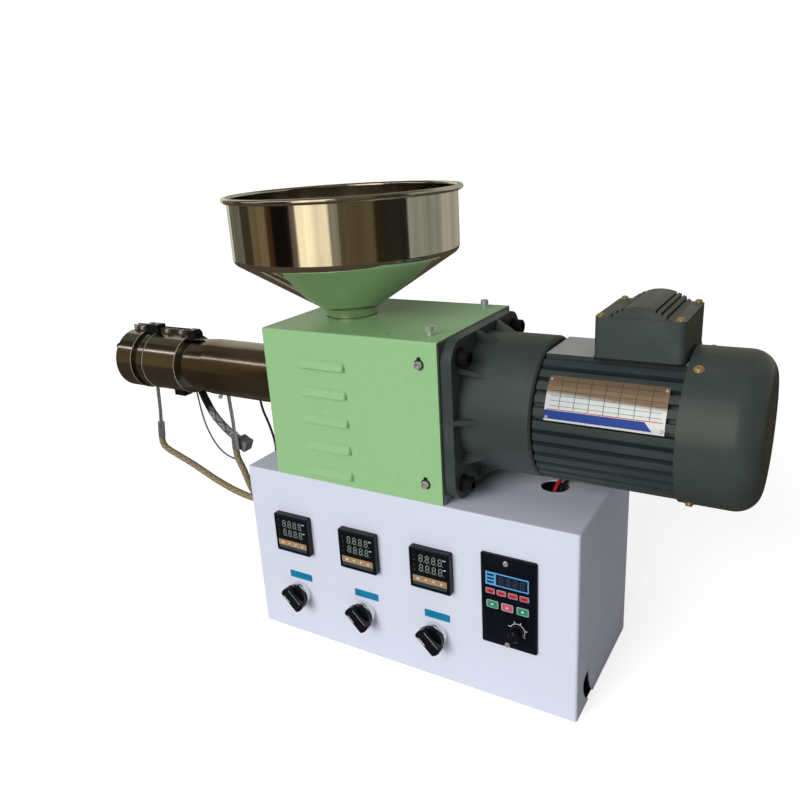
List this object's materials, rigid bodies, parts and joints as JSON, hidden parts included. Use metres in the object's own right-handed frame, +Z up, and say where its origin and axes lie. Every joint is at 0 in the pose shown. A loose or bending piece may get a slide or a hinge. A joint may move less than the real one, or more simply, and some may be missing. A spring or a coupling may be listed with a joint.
{
  "type": "filament extruder",
  "caption": "Desktop plastic filament extruder: steel hopper, louvred hood, heated barrel with heater bands, geared motor, on a control box with temperature controllers and a speed dial.",
  "frame": {"origin": "on the floor, under the middle of the control box", "axes": "+X along the barrel towards the motor, +Y to the back, +Z up"},
  "size_m": [0.817, 0.261, 0.5207],
  "materials": {
    "white_paint": "satin",
    "zinc_plate": "satin",
    "black_plastic": "satin",
    "black_gloss": "gloss",
    "chrome_ring": "polished",
    "green_paint": "satin",
    "machined_steel": "machined",
    "polished_barrel": "polished",
    "dark_metal": "satin",
    "mirror_steel": "mirror polished",
    "motor_paint": "satin",
    "tan_braid": "woven",
    "black_braid": "woven",
    "ceramic": "satin",
    "grey_wire": "matte",
    "black_wire": "matte",
    "red_wire": "matte"
  },
  "bodies": {
    "machine": {"adapter_ring": "motor_paint", "barrel": "polished_barrel", "bearing_housing": "machined_steel", "bottom_plate": "zinc_plate", "cable_gland": "black_plastic", "connector_block": "ceramic", "control_box": "white_paint", "cooling_fan": "black_plastic", "die_plate": "machined_steel", "earth_wire": "grey_wire", "fan_cowl": "motor_paint", "feed_block": "machined_steel", "feed_screw": "machined_steel", "feed_throat": "machined_steel", "gear_housing": "motor_paint", "heater_band_1": "polished_barrel", "heater_band_2": "polished_barrel", "heater_sleeve": "black_braid", "heater_wire": "black_wire", "hood": "green_paint", "hood_top": "green_paint", "hopper_bin": "mirror_steel", "hopper_funnel": "mirror_steel", "junction_box": "motor_paint", "junction_lid": "motor_paint", "motor_bracket": "zinc_plate", "motor_lead_black": "black_wire", "motor_lead_red": "red_wire", "nozzle": "machined_steel", "speed_panel": "black_plastic", "stator_frame": "motor_paint", "switch_bezel_1": "chrome_ring", "switch_bezel_2": "chrome_ring", "switch_bezel_3": "chrome_ring", "temperature_controller_1": "black_plastic", "temperature_controller_2": "black_plastic", "temperature_controller_3": "black_plastic", "terminal_blocks": "dark_metal", "thermocouple_probe_1": "dark_metal", "thermocouple_probe_2": "dark_metal", "thermocouple_sleeve_1": "tan_braid", "thermocouple_sleeve_2": "tan_braid"},
    "selector_1": {"switch_knob_1": "black_gloss"},
    "selector_2": {"switch_knob_2": "black_gloss"},
    "selector_3": {"switch_knob_3": "black_gloss"},
    "speed_dial": {"speed_knob": "black_gloss"}
  },
  "joints": [
    {"name": "selector_1_turn", "type": "hinge", "parent": "machine", "child": "selector_1", "pos_m": [-0.1405, -0.1, 0.0565], "axis": [0, 1, 0], "range_deg": [0, 90]},
    {"name": "selector_2_turn", "type": "hinge", "parent": "machine", "child": "selector_2", "pos_m": [-0.0483, -0.1, 0.0565], "axis": [0, 1, 0], "range_deg": [0, 90]},
    {"name": "selector_3_turn", "type": "hinge", "parent": "machine", "child": "selector_3", "pos_m": [0.0439, -0.1, 0.0565], "axis": [0, 1, 0], "range_deg": [0, 90]},
    {"name": "speed_dial_turn", "type": "hinge", "parent": "machine", "child": "speed_dial", "pos_m": [0.1406, -0.1, 0.0925], "axis": [0, 1, 0], "range_deg": [0, 300]}
  ]
}
